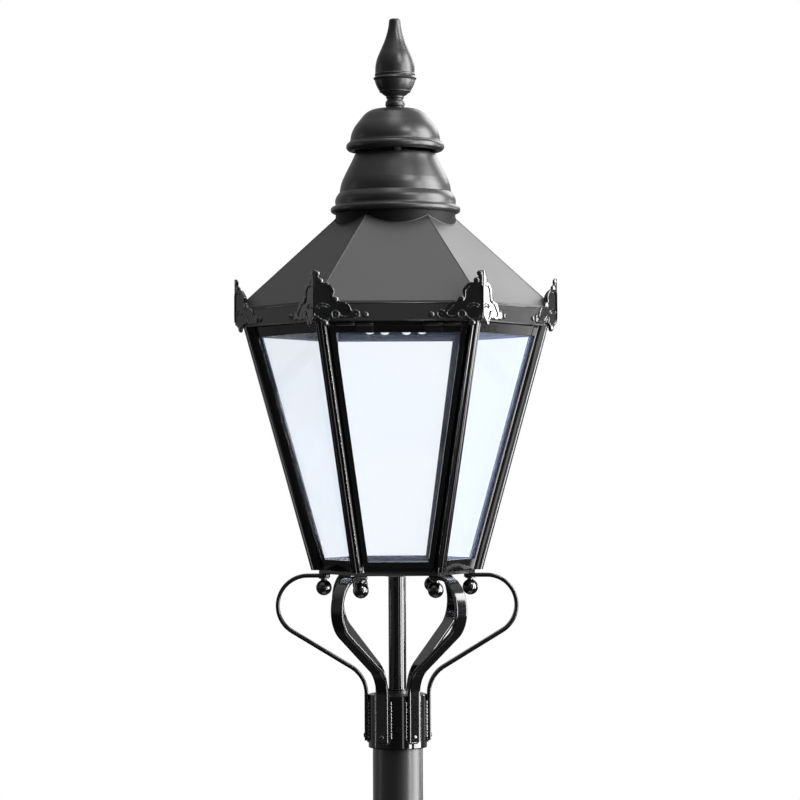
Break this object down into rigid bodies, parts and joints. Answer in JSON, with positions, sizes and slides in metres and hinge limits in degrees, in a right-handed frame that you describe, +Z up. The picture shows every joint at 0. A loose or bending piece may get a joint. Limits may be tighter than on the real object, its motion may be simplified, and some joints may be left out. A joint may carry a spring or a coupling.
{
  "type": "street lamp post",
  "caption": "Tubular street lamp post with an access door in its root and a six-sided glazed lantern on curved legs, with a top-hung front door, a hipped roof and a ventilator.",
  "frame": {"origin": "centre of the base plate's underside, on the ground", "axes": "+Z up the column, -Y the way the lantern's door and the column's access door face, +X right"},
  "size_m": [0.491, 0.4252, 3.53],
  "materials": {
    "gloss_black_paint": "gloss",
    "satin_black_paint": "satin",
    "gloss_black_castings": "gloss",
    "clear_glazing": "clear",
    "zinc_steel": "zinc plated",
    "brass": "dull",
    "board": "plain ply",
    "black_moulding": "moulded",
    "grey_moulding": "moulded",
    "cable_jacket": "matte",
    "white_enamel": "semi gloss",
    "lens_plastic": "clear optics",
    "white_case": "moulded",
    "seal_rubber": "matte"
  },
  "bodies": {
    "post": {"base_plate": "satin_black_paint", "base_gussets": "gloss_black_paint", "base_tube": "satin_black_paint", "shoulder_collar": "gloss_black_paint", "shaft_tube": "satin_black_paint", "column_hinge_knuckles": "zinc_steel", "column_hinge_pins": "zinc_steel", "backboard_brackets": "zinc_steel", "backboard": "board", "cutout_base": "black_moulding", "earth_stud": "zinc_steel", "lamp_cable": "cable_jacket", "frog_collar": "gloss_black_paint", "collar_bush": "satin_black_paint", "collar_screws": "zinc_steel", "frog_legs": "gloss_black_paint", "leg_studs": "zinc_steel", "ball_nuts": "gloss_black_castings", "conduit": "satin_black_paint", "conduit_locknuts": "zinc_steel", "base_ring": "gloss_black_paint", "floor_plate": "gloss_black_paint", "floor_cover": "gloss_black_paint", "corner_post_1": "gloss_black_paint", "corner_post_2": "gloss_black_paint", "corner_post_3": "gloss_black_paint", "corner_post_4": "gloss_black_paint", "corner_post_5": "gloss_black_paint", "corner_post_6": "gloss_black_paint", "bottom_rails": "gloss_black_paint", "top_rails": "gloss_black_paint", "side_panes": "clear_glazing", "glazing_beads": "gloss_black_paint", "top_ring": "gloss_black_paint", "fascia_band": "gloss_black_paint", "fascia_screws": "gloss_black_castings", "coronets": "gloss_black_paint", "roof_panels": "satin_black_paint", "vent_neck": "satin_black_paint", "vent_body": "satin_black_paint", "vent_spider": "satin_black_paint", "vent_dome": "satin_black_paint", "finial": "satin_black_paint", "tie_rod": "zinc_steel", "gear_tray": "white_enamel", "led_board": "white_enamel", "led_lenses": "lens_plastic", "led_driver": "white_case", "terminal_block": "white_case", "lantern_hinge_leaves": "zinc_steel", "lantern_hinge_pins": "zinc_steel"},
    "column_door": {"access_door": "satin_black_paint", "access_door_straps": "zinc_steel", "door_lock_body": "brass"},
    "lock_cam": {"door_lock_cam": "zinc_steel"},
    "fuse": {"fuse_carrier": "grey_moulding"},
    "lantern_door": {"door_frame": "gloss_black_paint", "door_glass": "clear_glazing", "door_seal": "seal_rubber", "door_hinge_leaves": "zinc_steel"}
  },
  "joints": [
    {"name": "lantern_door_hinge", "type": "hinge", "parent": "post", "child": "lantern_door", "pos_m": [0, -0.1995, 3.0554], "axis": [-1, 0, 0], "range_deg": [0, 80]},
    {"name": "column_door_hinge", "type": "hinge", "parent": "post", "child": "column_door", "pos_m": [-0.058, -0.04888, 0.62], "axis": [0, 0, -1], "range_deg": [0, 110]},
    {"name": "door_lock_turn", "type": "hinge", "parent": "column_door", "child": "lock_cam", "pos_m": [0.033, -0.045, 0.62], "axis": [0, 1, 0], "range_deg": [0, 90]},
    {"name": "fuse_carrier_pull", "type": "slide", "parent": "post", "child": "fuse", "axis": [0, -1, 0], "range_m": [0, 0.028]}
  ]
}
